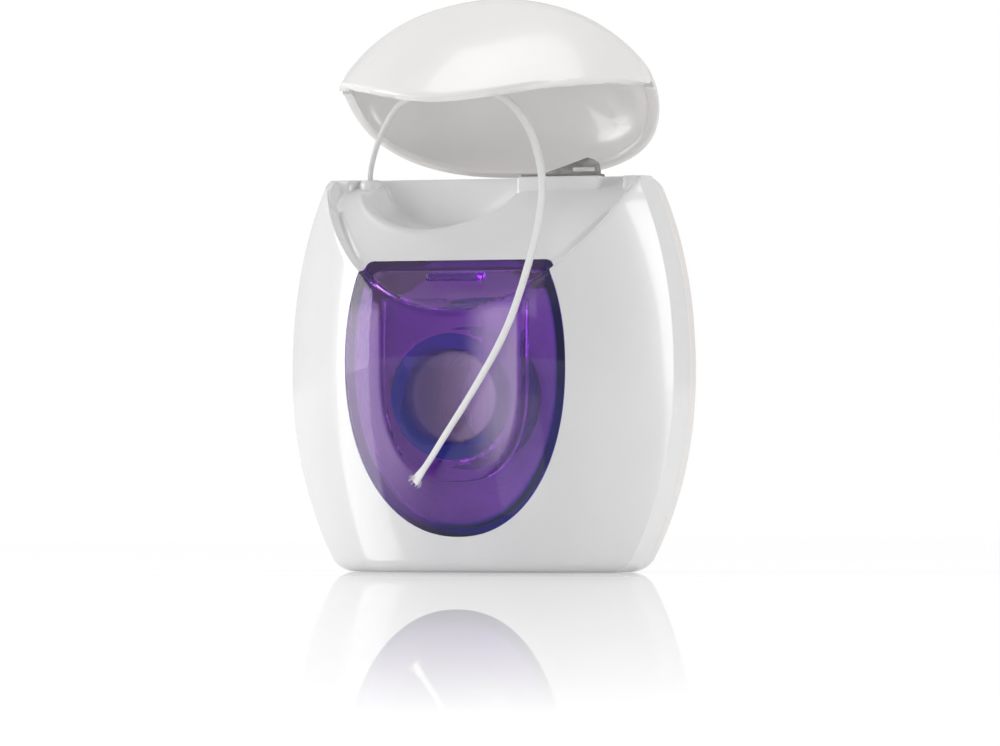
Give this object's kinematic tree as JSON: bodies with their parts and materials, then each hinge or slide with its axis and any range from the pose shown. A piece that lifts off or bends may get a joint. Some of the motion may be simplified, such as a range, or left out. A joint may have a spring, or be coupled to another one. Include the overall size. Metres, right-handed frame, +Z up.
{
  "type": "dental floss dispenser",
  "caption": "Free-standing dental floss dispenser with a domed flip-up lid, a translucent front window, a steel cutter and a turning spool.",
  "frame": {"origin": "on the flat base, on the centre line, in the plane of the shoulder crease between the front dome and the side band", "axes": "+Z up from the base, +Y towards the back, +X to the right as the window is faced"},
  "size_m": [0.046, 0.0304, 0.0648],
  "materials": {
    "white_shell": "glossy moulded white",
    "purple_window": "clear tinted purple",
    "cutter_steel": "stamped steel",
    "spool_plastic": "satin moulded",
    "floss": "waxed white floss"
  },
  "bodies": {
    "body": {"housing": "white_shell", "back_cover": "white_shell", "window": "purple_window", "cutter": "cutter_steel", "living_hinge": "white_shell", "floss_run": "floss", "floss_tail": "floss"},
    "lid": {"lid": "white_shell"},
    "spool": {"bobbin": "spool_plastic", "floss_pack": "floss", "floss_winding": "floss"}
  },
  "joints": [
    {"name": "lid_hinge", "type": "hinge", "parent": "body", "child": "lid", "pos_m": [0, 0.0142, 0.0447], "axis": [-1, 0, 0], "range_deg": [-47.5, 40], "deforming": ["living_hinge", "floss_tail"]},
    {"name": "spool_spin", "type": "hinge", "parent": "body", "child": "spool", "pos_m": [0, 0.0042, 0.0196], "axis": [0, 1, 0], "continuous": true}
  ]
}
